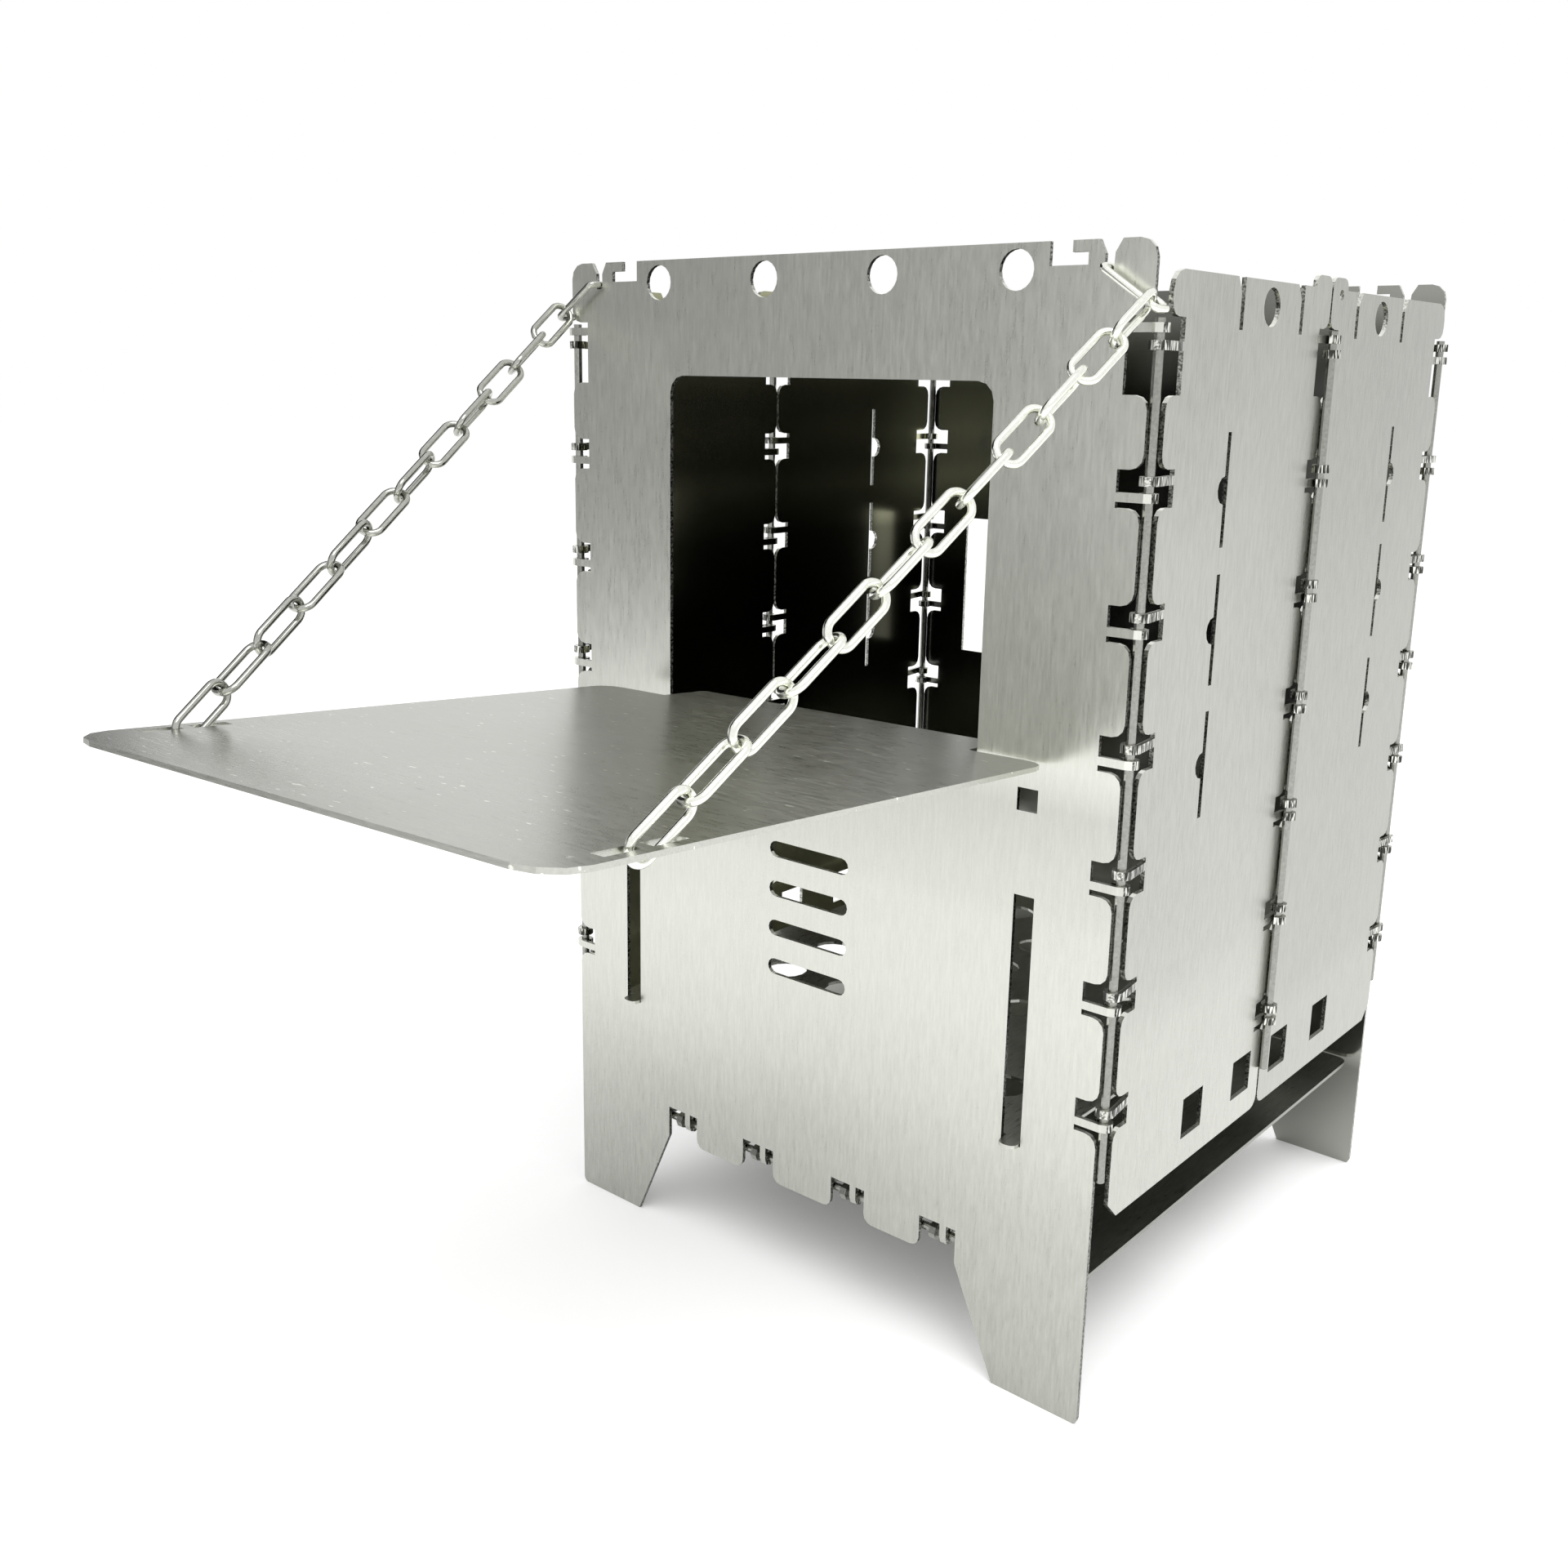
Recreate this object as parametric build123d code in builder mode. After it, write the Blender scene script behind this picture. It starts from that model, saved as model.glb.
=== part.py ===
"""Folding camping wood stove: hinged sheet-steel walls, a feed shelf on two chains, a floor and a grate."""
import os
from math import atan2, cos, degrees, hypot, radians, sin, tan

from build123d import *

os.makedirs("parts", exist_ok=True)

# Driving dimensions, in millimetres. Y is measured from the front panel's outer face until FRONT_Y.
WIDTH = 160.0  # front and back panel
DEPTH = 160.0  # outer face of the front panel to outer face of the back panel
HEIGHT = 251.0
SHEET = 1.0
SIDE_X = 81.6  # outer face of the side walls
WALL_BOTTOM = 48.5
WALL_TOP = 245.7
WALL_EDGE = 4.4  # a side wall's edge, from the panel's outer face
WALL_GAP = 0.4  # half the gap between a side's two halves
WALL_NOTCH_END = 10.1  # inner side of its corner notches, from the panel's outer face
MIDDLE_NOTCH_END = 5.4  # inner side of its other notches, from the middle hinge

ROUND_FACET = 30.0  # degrees of a rounded corner that one facet takes

# Hinges: strips of sheet curled round steel rods.
ROD_RADIUS = 1.0
ROD_FACETS = 12
CURL_INNER = 1.05
CURL_OUTER = CURL_INNER + SHEET
CURL_FACETS = 8  # facets of a full turn
STRIP_NEAR = 0.7  # a strip's edges, from the middle of its pair
STRIP_FAR = 2.5
NOTCH_HALF = 3.7
NOTCH_DEPTH = 5.4
LOBE_ROUND = 2.8
PAIR_LOW = 73.5  # height of the lowest pair
PAIR_PITCH = 26.25
PAIRS_BELOW_TOP = 6
TOP_PAIR = 233.2
TOP_NOTCH_LOW = 222.4
TOP_NOTCH_HIGH = 237.0
ROD_LOW = 58.8
ROD_HIGH = 236.6
CORNER_X = 80.5  # axis of the corner rods
MIDDLE_X = SIDE_X - SHEET + CURL_OUTER

# Front and back panels
LEG_TIP = 57.7
LEG_KINK = 46.1
PANEL_BOTTOM = 26.0
FLOOR_NOTCH_TOP = 34.3
FLOOR_NOTCH_HALF = 5.1
FLOOR_LOBE_ROUND = 2.4
FLOOR_PAIRS = (-41.0, -14.5, 14.5, 41.0)
WINDOW_HALF = 45.8
WINDOW_LOW = 146.7
WINDOW_HIGH = 224.5
TOP_HOLE_RADIUS = 4.0
HOLE_FACETS = 20
TOP_HOLE_Z = 245.9
TOP_HOLES = (-49.7, -16.57, 16.57, 49.7)
SLOT_X = 59.3
SLOT_WIDTH = 5.0
SLOT_LOW = 60.9
SLOT_HIGH = 118.4
PEG_HOLE = 5.0
PEG_HOLE_X = 58.8
PEG_HOLE_Z = 139.4
VENT_LENGTH = 24.0
VENT_WIDTH = 4.0
VENT_PITCH = 10.0
VENT_LOW = 84.0
VENT_COUNT = 4
BACK_SLOT_X = 61.0
BACK_SLOT_WIDTH = 9.0
BACK_SLOT_LOW = 136.5
BACK_SLOT_HIGH = 180.5

# Side walls: distances along the wall are from the middle hinge.
KEYHOLE_Y = 46.5
KEYHOLE_LENGTH = 23.6
KEYHOLE_WIDTH = 1.5
KEYHOLE_BULGE = 2.9
KEYHOLES_Z = (145.0, 174.2, 203.4)
WALL_SQUARE = 10.0
WALL_SQUARES = (10.9, 37.2)
WALL_SQUARE_Z = 60.2
WALL_HOLE_Y = 31.3
WALL_HOLE_Z = 240.4
SLIT_WIDTH = 1.6
SLITS_Y = (15.8, 45.5)
SLIT_LOW = 235.4
SLIT_MOUTH = 3.0
EAR_WIDTH = 8.6
EAR_HEIGHT = 2.6
EAR_HOLE_RADIUS = 1.2
EAR_HOLE_Y = 5.5
EAR_HOLE_Z = 244.6

# Feed shelf. It tips about the inner edge of the window's sill, and sits loose and a little askew there.
SHELF_HALF = 62.2
SHELF_LENGTH = 146.4  # from that edge to the shelf's front edge
SHELF_TILT = 4.6
SHELF_TURN = 3.0
SHELF_SIDE = 1.7  # its middle's place along X at that edge
SHELF_FRONT_ROUND = 8.0
SHELF_REAR_ROUND = 5.0
SILL_GAP = 0.02
SHOULDER = 5.8  # from the tipping edge to the wide part
TONGUE_HALF = 43.0
TONGUE_LENGTH = 9.5
CHAIN_SLOT_IN = 3.6  # chain slots, from the shelf's side edge
CHAIN_SLOT_WIDTH = 2.8
CHAIN_SLOT_LENGTH = 8.0
BRIDGE_WIDTH = 2.4
BRIDGE_BACK = 21.6  # middle of the bridge between them, from the shelf's front edge

# Chains
WIRE = 0.9  # radius of the wire
WIRE_FACETS = 6
LINK_COUNT = 12
LINK_WIDTH = 5.2  # between the middles of a link's long sides
LINK_PLAY = 0.1  # how much longer a link is inside than the chain's pitch
BEND_FACETS = 2  # facets of a quarter turn of the wire
BRIDGE_HOLD = 1.4  # from the middle of the shelf's bridge to the inside of the first link
HOOK_SLIT = (70.1, 245.9)  # where the hook link passes through the panel's slit
HOOK_EDGE = (81.5, 238.8)  # where it passes round the panel's edge
HOOK_BACK = 0.05  # gap between the hook link and the panel's inner face
HOOK_WIDTH = 4.9  # between the middles of its back and front bars
HOOK_BEND = 1.3
HOOK_HOLD = 0.82  # where the chain hangs, along the hook link

# Floor plate and fire grate
FLOOR_HALF = 77.0
FLOOR_START = 1.3
FLOOR_END = 157.5
FLOOR_NOTCH_END = 5.0
FLOOR_TOP = 33.0
FLOOR_AXIS_Z = FLOOR_TOP - CURL_OUTER
FLOOR_ROD_HALF = 48.0
GRATE_SHEET = 0.8
GRATE_GAP = 0.02
GRATE_TAB_WIDTH = 4.55
GRATE_TAB_OUT = 2.5
GRATE_START = 2.0
GRATE_END = 150.0
GRATE_HALF = 65.0
GRATE_HOLE_RADIUS = 6.0
GRATE_HOLE_FACETS = 14
GRATE_HOLE_PITCH = 21.5
GRATE_HOLES_X = 5
GRATE_HOLES_Y = 6

# The bounding box is centred on the origin, so the front panel's outer face stands off the middle.
TILT_COS, TILT_SIN = cos(radians(SHELF_TILT)), sin(radians(SHELF_TILT))
TURN_COS, TURN_SIN = cos(radians(SHELF_TURN)), sin(radians(SHELF_TURN))
SHELF_REACH = (SHELF_LENGTH * TILT_COS + SHEET * TILT_SIN) * TURN_COS - SHEET
SHELF_REACH += (SHELF_HALF - SHELF_FRONT_ROUND) * TURN_SIN
FRONT_Y = (SHELF_REACH - DEPTH) / 2
BACK_Y = FRONT_Y + DEPTH
MIDDLE_Y = FRONT_Y + DEPTH / 2

CORNER_PAIRS = [PAIR_LOW + PAIR_PITCH * i for i in range(PAIRS_BELOW_TOP)]


def notch_spans():
    """Lowest and highest point of each hinge notch, from the bottom up."""
    spans = [(z - NOTCH_HALF, z + NOTCH_HALF) for z in CORNER_PAIRS]
    return spans + [(TOP_NOTCH_LOW, TOP_NOTCH_HIGH)]


def strip_spans(upper):
    """Lowest and highest point of one sheet's strips. The top pair is the other way up."""
    spans = []
    for z in CORNER_PAIRS:
        spans.append((z + STRIP_NEAR, z + STRIP_FAR) if upper else (z - STRIP_FAR, z - STRIP_NEAR))
    z = TOP_PAIR
    spans.append((z - STRIP_FAR, z - STRIP_NEAR) if upper else (z + STRIP_NEAR, z + STRIP_FAR))
    return spans


def polar(radius, angle):
    return (radius * cos(radians(angle)), radius * sin(radians(angle)))


def curl_outline(root, lean=0.0):
    """Closed outline of a curled strip round (0, 0). It comes from y = root along x = CURL_INNER."""
    step = 360 / CURL_FACETS
    angles = [step * i for i in range(CURL_FACETS - 1)]
    outer = [polar(CURL_OUTER, -a) for a in angles]
    inner = [polar(CURL_INNER / cos(radians(step / 2)), -a) for a in angles[1:]]
    tail = [(CURL_OUTER - lean, root), outer[0]] + outer[1:]
    return tail + inner[::-1] + [(CURL_INNER, 0.0), (CURL_INNER - lean, root)]


def curls(frame, spans, root, lean=0.0):
    """Curled strips. frame lies across the hinge axis, and the spans run along its normal."""
    with BuildPart() as strips:
        for low, high in spans:
            with BuildSketch(frame.offset(low)):
                Polygon(*curl_outline(root, lean), align=None)
            extrude(amount=high - low)
    return strips.part


def cut_polygon(*points):
    Polygon(*points, align=None, mode=Mode.SUBTRACT)


def cut_round(radius, sides, *places):
    """Round holes of a few facets, in the current sketch."""
    with Locations(*places):
        RegularPolygon(radius, sides, mode=Mode.SUBTRACT)


def rounded(*corners):
    """Points of an outline. A corner is (x, y), or (x, y, radius) where it is rounded in facets."""
    points = []
    for i, (x, y, *radius) in enumerate(corners):
        here = Vector(x, y)
        if not radius:
            points.append((x, y))
            continue
        after = corners[(i + 1) % len(corners)]
        back = (Vector(*corners[i - 1][:2]) - here).normalized()
        ahead = (Vector(*after[:2]) - here).normalized()
        turn = 180 - back.get_angle(ahead)
        start = here + back * (radius[0] * tan(radians(turn / 2)))
        centre = here + (back + ahead).normalized() * (radius[0] / cos(radians(turn / 2)))
        left = back.X * ahead.Y - back.Y * ahead.X < 0
        facets = max(1, round(turn / ROUND_FACET))
        for step in range(facets + 1):
            spoke = (start - centre).rotate(Axis.Z, (turn if left else -turn) * step / facets)
            points.append((centre.X + spoke.X, centre.Y + spoke.Y))
    return points


def edge_corners(edge, inner):
    """Corners of an upright edge with its hinge notches, from the bottom up."""
    corners = []
    for low, high in notch_spans():
        corners += [(edge, low, LOBE_ROUND), (inner, low), (inner, high), (edge, high, LOBE_ROUND)]
    return corners


def floor_notch_corners():
    """Corners of the notches in the front panel's lower edge, from the middle to the right."""
    corners = []
    for x in FLOOR_PAIRS[2:]:
        left, right = x - FLOOR_NOTCH_HALF, x + FLOOR_NOTCH_HALF
        corners += [(left, PANEL_BOTTOM, FLOOR_LOBE_ROUND), (left, FLOOR_NOTCH_TOP), (right, FLOOR_NOTCH_TOP)]
        if right < LEG_KINK:
            corners.append((right, PANEL_BOTTOM, FLOOR_LOBE_ROUND))
    return corners


def panel_outline(bottom_corners):
    """Outline of the front or back panel, drawn as its right half and mirrored."""
    right = bottom_corners + [(LEG_KINK, PANEL_BOTTOM), (LEG_TIP, 0), (WIDTH / 2, 0, 1.5)]
    right += edge_corners(WIDTH / 2, WIDTH / 2 - NOTCH_DEPTH)
    # corner tab, slit and hook
    right += [(WIDTH / 2, HEIGHT, 3.6), (72.8, HEIGHT), (71.3, 248.5), (71.1, 244.8), (69.1, 244.8)]
    right += [(69.2, 248.3), (67.8, HEIGHT), (62.1, HEIGHT), (62.1, 248.8), (65.6, 248.8)]
    right += [(65.6, 246.4), (57.1, 246.4), (57.1, HEIGHT)]
    left = [(-x, *rest) for x, *rest in reversed(right)]
    return rounded(*right, *left)


def cut_pegs_and_slots():
    """Air slots, peg holes and vents of the front panel, in the current sketch."""
    for side in (-1, 1):
        with Locations((side * SLOT_X, (SLOT_LOW + SLOT_HIGH) / 2)):
            Rectangle(SLOT_WIDTH, SLOT_HIGH - SLOT_LOW, mode=Mode.SUBTRACT)
        with Locations((side * PEG_HOLE_X, PEG_HOLE_Z)):
            Rectangle(PEG_HOLE, PEG_HOLE, mode=Mode.SUBTRACT)
    for i in range(VENT_COUNT):
        z = VENT_LOW + VENT_PITCH * i
        ends = [(x * VENT_LENGTH / 2, z + y * VENT_WIDTH / 2) for x, y in ((-1, -1), (1, -1), (1, 1), (-1, 1))]
        cut_polygon(*rounded(*[(x, y, VENT_WIDTH / 2 - 0.05) for x, y in ends]))


def panel_plane(outer_y):
    """Drawing plane of a panel: X across, Z up, the sheet grows towards -Y."""
    return Plane(origin=(0, outer_y, 0), x_dir=(1, 0, 0), z_dir=(0, -1, 0))


def corner_frame(side, panel_y, inward):
    """Plane across a corner rod, for the panel's strips. inward is +1 from the front, -1 from the back."""
    x_dir = (0, -inward, 0)
    z_dir = (0, 0, -1) if side * inward > 0 else (0, 0, 1)
    return Plane(origin=(side * CORNER_X, panel_y + inward * CURL_OUTER, 0), x_dir=x_dir, z_dir=z_dir)


def flip_spans(frame, spans):
    """Spans measured along the frame's own normal."""
    if frame.z_dir.Z > 0:
        return spans
    return [(-high, -low) for low, high in spans]


def add_panel_curls(panel_y, inward):
    """A panel's own curled strips, at both of its upright edges."""
    for side in (-1, 1):
        frame = corner_frame(side, panel_y, inward)
        root = CORNER_X - WIDTH / 2 + NOTCH_DEPTH
        add(curls(frame, flip_spans(frame, strip_spans(False)), root))


with BuildPart() as front_panel:
    with BuildSketch(panel_plane(FRONT_Y + SHEET)):
        Polygon(*panel_outline(floor_notch_corners()), align=None)
        window = [(WINDOW_HALF, WINDOW_LOW), (WINDOW_HALF, WINDOW_HIGH, 4.0)]
        window += [(-WINDOW_HALF, WINDOW_HIGH, 4.0), (-WINDOW_HALF, WINDOW_LOW)]
        cut_polygon(*rounded(*window))
        cut_round(TOP_HOLE_RADIUS, HOLE_FACETS, *[(x, TOP_HOLE_Z) for x in TOP_HOLES])
        cut_pegs_and_slots()
    extrude(amount=SHEET)
    add_panel_curls(FRONT_Y, 1)
    floor_frame = Plane(origin=(0, FRONT_Y + CURL_OUTER, FLOOR_AXIS_Z), x_dir=(0, -1, 0), z_dir=(-1, 0, 0))
    floor_strips = [(-x - STRIP_FAR, -x - STRIP_NEAR) for x in FLOOR_PAIRS]
    add(curls(floor_frame, floor_strips, FLOOR_NOTCH_TOP - FLOOR_AXIS_Z))
front_panel.part.label = "front_panel"
export_step(front_panel.part, "parts/front_panel.step")

with BuildPart() as back_panel:
    with BuildSketch(panel_plane(BACK_Y)):
        Polygon(*panel_outline([]), align=None)
        cut_round(TOP_HOLE_RADIUS, HOLE_FACETS, *[(x, TOP_HOLE_Z) for x in TOP_HOLES])
        with Locations(*[(x, (BACK_SLOT_LOW + BACK_SLOT_HIGH) / 2) for x in (-BACK_SLOT_X, BACK_SLOT_X)]):
            Rectangle(BACK_SLOT_WIDTH, BACK_SLOT_HIGH - BACK_SLOT_LOW, mode=Mode.SUBTRACT)
    extrude(amount=SHEET)
    add_panel_curls(BACK_Y, -1)
back_panel.part.label = "back_panel"
export_step(back_panel.part, "parts/back_panel.step")


def wall_slot(z):
    """One upright slot with a half-round bulge on its side away from the middle hinge."""
    with Locations((KEYHOLE_Y, z)):
        Rectangle(KEYHOLE_WIDTH, KEYHOLE_LENGTH, mode=Mode.SUBTRACT)
    edge = KEYHOLE_Y + KEYHOLE_WIDTH / 2
    bulge = [polar(KEYHOLE_BULGE, angle) for angle in range(-90, 91, 30)]
    cut_polygon((edge - 0.2, z - KEYHOLE_BULGE), *[(edge + x, z + y) for x, y in bulge], (edge - 0.2, z + KEYHOLE_BULGE))


def wall_outline():
    """Outline of half a side wall: distance from the middle hinge, then height."""
    far = DEPTH / 2 - WALL_EDGE
    far_notch = DEPTH / 2 - WALL_NOTCH_END
    corners = [(WALL_GAP, WALL_BOTTOM, 3.0), (far - 4, WALL_BOTTOM), (far, WALL_BOTTOM + 4)]
    corners += edge_corners(far, far_notch)
    corners.append((far, WALL_TOP, 4.0))
    for y in reversed(SLITS_Y):
        low, high = y - SLIT_WIDTH / 2, y + SLIT_WIDTH / 2
        corners += [(high + 1.9, WALL_TOP), (high, WALL_TOP - SLIT_MOUTH), (high, SLIT_LOW)]
        corners += [(low, SLIT_LOW), (low, WALL_TOP)]
    ear = WALL_GAP + EAR_WIDTH
    corners += [(ear, WALL_TOP), (ear, WALL_TOP + EAR_HEIGHT, 2.2), (WALL_GAP, WALL_TOP + EAR_HEIGHT, 2.2)]
    corners += reversed(edge_corners(WALL_GAP, MIDDLE_NOTCH_END))
    return rounded(*corners)


def wall_holes(ear_hole):
    """Holes and slots of half a side wall, in the current sketch."""
    for y in WALL_SQUARES:
        with Locations((y, WALL_SQUARE_Z)):
            Rectangle(WALL_SQUARE, WALL_SQUARE, mode=Mode.SUBTRACT)
    for z in KEYHOLES_Z:
        wall_slot(z)
    cut_round(TOP_HOLE_RADIUS, HOLE_FACETS, (WALL_HOLE_Y, WALL_HOLE_Z))
    if ear_hole:
        cut_round(EAR_HOLE_RADIUS, 10, (EAR_HOLE_Y, EAR_HOLE_Z))


def side_wall(front):
    """One half of the right-hand wall, with its curls at the corner and at the middle hinge."""
    toward = -1 if front else 1
    origin = (SIDE_X if front else SIDE_X - SHEET, MIDDLE_Y, 0)
    with BuildPart() as wall:
        with BuildSketch(Plane(origin=origin, x_dir=(0, toward, 0), z_dir=(toward, 0, 0))):
            Polygon(*wall_outline(), align=None)
            wall_holes(not front)
        extrude(amount=SHEET)
        # corner strips lean out from the wall to clear the panel
        corner_y = FRONT_Y + CURL_OUTER if front else BACK_Y - CURL_OUTER
        corner = Plane(origin=(CORNER_X, corner_y, 0), x_dir=(1, 0, 0), z_dir=(0, 0, -toward))
        lean = CORNER_X + CURL_OUTER - SIDE_X
        add(curls(corner, flip_spans(corner, strip_spans(True)), WALL_NOTCH_END - CURL_OUTER, lean))
        middle = Plane(origin=(MIDDLE_X, MIDDLE_Y, 0), x_dir=(-1, 0, 0), z_dir=(0, 0, -toward))
        add(curls(middle, flip_spans(middle, strip_spans(not front)), MIDDLE_NOTCH_END))
    return wall.part


def upright_rod(x, y):
    with BuildPart() as rod:
        with BuildSketch(Plane(origin=(x, y, ROD_LOW))):
            RegularPolygon(ROD_RADIUS, ROD_FACETS)
        extrude(amount=ROD_HIGH - ROD_LOW)
    return rod.part


right_front_wall = side_wall(True)
right_front_wall.label = "right_front_wall"
export_step(right_front_wall, "parts/right_front_wall.step")

right_rear_wall = side_wall(False)
right_rear_wall.label = "right_rear_wall"
export_step(right_rear_wall, "parts/right_rear_wall.step")

left_front_wall = mirror(right_front_wall, about=Plane.YZ)
left_front_wall.label = "left_front_wall"
export_step(left_front_wall, "parts/left_front_wall.step")

left_rear_wall = mirror(right_rear_wall, about=Plane.YZ)
left_rear_wall.label = "left_rear_wall"
export_step(left_rear_wall, "parts/left_rear_wall.step")

RODS = {
    "front_right_rod": (CORNER_X, FRONT_Y + CURL_OUTER),
    "front_left_rod": (-CORNER_X, FRONT_Y + CURL_OUTER),
    "right_middle_rod": (MIDDLE_X, MIDDLE_Y),
    "left_middle_rod": (-MIDDLE_X, MIDDLE_Y),
    "rear_right_rod": (CORNER_X, BACK_Y - CURL_OUTER),
    "rear_left_rod": (-CORNER_X, BACK_Y - CURL_OUTER),
}
for rod_name, rod_place in RODS.items():
    corner_rod = upright_rod(*rod_place)
    corner_rod.label = rod_name
    export_step(corner_rod, f"parts/{rod_name}.step")

with BuildPart() as floor_plate:
    floor_corners = [(FLOOR_HALF, FLOOR_START, 3.0), (FLOOR_HALF, FLOOR_END, 3.0)]
    floor_corners += [(-FLOOR_HALF, FLOOR_END, 3.0), (-FLOOR_HALF, FLOOR_START, 3.0)]
    for x in FLOOR_PAIRS:
        left, right = x - FLOOR_NOTCH_HALF, x + FLOOR_NOTCH_HALF
        floor_corners += [(left, FLOOR_START), (left, FLOOR_NOTCH_END), (right, FLOOR_NOTCH_END), (right, FLOOR_START)]
    with BuildSketch(Plane((0, FRONT_Y, FLOOR_TOP - SHEET))):
        Polygon(*rounded(*floor_corners), align=None)
    extrude(amount=SHEET)
    floor_hinge = Plane(origin=(0, FRONT_Y + CURL_OUTER, FLOOR_AXIS_Z), x_dir=(0, 0, 1), z_dir=(-1, 0, 0))
    floor_spans = [(-x + STRIP_NEAR, -x + STRIP_FAR) for x in FLOOR_PAIRS]
    add(curls(floor_hinge, floor_spans, FLOOR_NOTCH_END - CURL_OUTER))
floor_plate.part.label = "floor_plate"
export_step(floor_plate.part, "parts/floor_plate.step")

with BuildPart() as floor_rod:
    with BuildSketch(Plane(origin=(0, FRONT_Y + CURL_OUTER, FLOOR_AXIS_Z), z_dir=(1, 0, 0))):
        RegularPolygon(ROD_RADIUS, ROD_FACETS)
    extrude(amount=FLOOR_ROD_HALF, both=True)
floor_rod.part.label = "floor_rod"
export_step(floor_rod.part, "parts/floor_rod.step")

with BuildPart() as fire_grate:
    grate_corners = [(GRATE_HALF, GRATE_START, 4.0), (GRATE_HALF, GRATE_END, 4.0)]
    grate_corners += [(-GRATE_HALF, GRATE_END, 4.0), (-GRATE_HALF, GRATE_START)]
    for x in (-SLOT_X, SLOT_X):
        left, right = x - GRATE_TAB_WIDTH / 2, x + GRATE_TAB_WIDTH / 2
        grate_corners += [(left, GRATE_START), (left, -GRATE_TAB_OUT, 1.8)]
        grate_corners += [(right, -GRATE_TAB_OUT, 1.8), (right, GRATE_START)]
    with BuildSketch(Plane((0, FRONT_Y, SLOT_LOW + GRATE_GAP))):
        Polygon(*rounded(*grate_corners), align=None)
        with Locations((0, (GRATE_START + GRATE_END) / 2)):
            with GridLocations(GRATE_HOLE_PITCH, GRATE_HOLE_PITCH, GRATE_HOLES_X, GRATE_HOLES_Y):
                RegularPolygon(GRATE_HOLE_RADIUS, GRATE_HOLE_FACETS, mode=Mode.SUBTRACT)
    extrude(amount=GRATE_SHEET)
fire_grate.part.label = "fire_grate"
export_step(fire_grate.part, "parts/fire_grate.step")

# The shelf is drawn on its own top face. Its +Y runs inward and a little down.
SILL_Z = WINDOW_LOW + SILL_GAP + (SHEET + TONGUE_HALF * TURN_SIN * TILT_SIN) / TILT_COS
shelf_plane = Plane(
    origin=(SHELF_SIDE, FRONT_Y + SHEET, SILL_Z),
    x_dir=(TURN_COS, TURN_SIN, 0),
    z_dir=(-TURN_SIN * TILT_SIN, TURN_COS * TILT_SIN, TILT_COS),
)
CHAIN_X = SHELF_HALF - CHAIN_SLOT_IN
SLOT_STEP = (CHAIN_SLOT_LENGTH + BRIDGE_WIDTH) / 2

with BuildPart() as shelf_plate:
    shelf_right = [(SHELF_HALF, -SHELF_LENGTH, SHELF_FRONT_ROUND), (SHELF_HALF, -SHOULDER, SHELF_REAR_ROUND)]
    shelf_right += [(TONGUE_HALF, -SHOULDER), (TONGUE_HALF, TONGUE_LENGTH, 1.5)]
    shelf_left = [(-x, *rest) for x, *rest in reversed(shelf_right)]
    with BuildSketch(shelf_plane):
        Polygon(*rounded(*shelf_right, *shelf_left), align=None)
        for x in (-CHAIN_X, CHAIN_X):
            for step in (-SLOT_STEP, SLOT_STEP):
                with Locations((x, -SHELF_LENGTH + BRIDGE_BACK + step)):
                    Rectangle(CHAIN_SLOT_WIDTH, CHAIN_SLOT_LENGTH, mode=Mode.SUBTRACT)
    extrude(amount=-SHEET)
shelf_plate.part.label = "shelf_plate"
export_step(shelf_plate.part, "parts/shelf_plate.step")


def link_path(length, width, bend):
    """Middle line of a link in its own XY plane, long along X, as corners in order."""
    corners = []
    for quarter, (x_sign, y_sign) in enumerate(((1, -1), (1, 1), (-1, 1), (-1, -1))):
        middle = Vector(x_sign * (length / 2 - bend), y_sign * (width / 2 - bend))
        for i in range(BEND_FACETS + 1):
            corner = middle + Vector(*polar(bend, 90 * (quarter - 1) + 90 / BEND_FACETS * i))
            if not corners or (corner - corners[-1]).length > 0.01:
                corners.append(corner)
    if (corners[0] - corners[-1]).length < 0.01:
        corners.pop()
    return corners


def wire_link(length, width, bend):
    """A closed link of wire in its own XY plane. length and width are between wire middles."""
    path = link_path(length, width, bend)
    count = len(path)
    rings = []
    for i in range(count):
        before = (path[i] - path[i - 1]).normalized()
        after = (path[(i + 1) % count] - path[i]).normalized()
        along = (before + after).normalized()
        across = Vector(along.Y, -along.X) * (1 / along.dot(after))
        angles = [radians(360 / WIRE_FACETS * j) for j in range(WIRE_FACETS)]
        ring = [path[i] + across * (WIRE * cos(a)) + Vector(0, 0, WIRE * sin(a)) for a in angles]
        rings.append(ring)
    faces = []
    for i in range(count):
        here, there = rings[i], rings[(i + 1) % count]
        for j in range(WIRE_FACETS):
            k = (j + 1) % WIRE_FACETS
            faces.append(Face(Wire.make_polygon([here[j], there[j], there[k], here[k]])))
    return Solid(Shell(faces))


def hook_plane(side):
    """Plane of a hook link, on its middle. Its X runs from the slit to the panel's edge."""
    x = side * (HOOK_SLIT[0] + HOOK_EDGE[0]) / 2
    y = FRONT_Y + SHEET + HOOK_BACK + WIRE - HOOK_WIDTH / 2
    z = (HOOK_SLIT[1] + HOOK_EDGE[1]) / 2
    run = Vector(side * (HOOK_EDGE[0] - HOOK_SLIT[0]), 0, HOOK_EDGE[1] - HOOK_SLIT[1]).normalized()
    return Plane(origin=(x, y, z), x_dir=run, z_dir=run.cross(Vector(0, -1, 0)))


HOOK_LENGTH = hypot(HOOK_EDGE[0] - HOOK_SLIT[0], HOOK_EDGE[1] - HOOK_SLIT[1])


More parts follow.
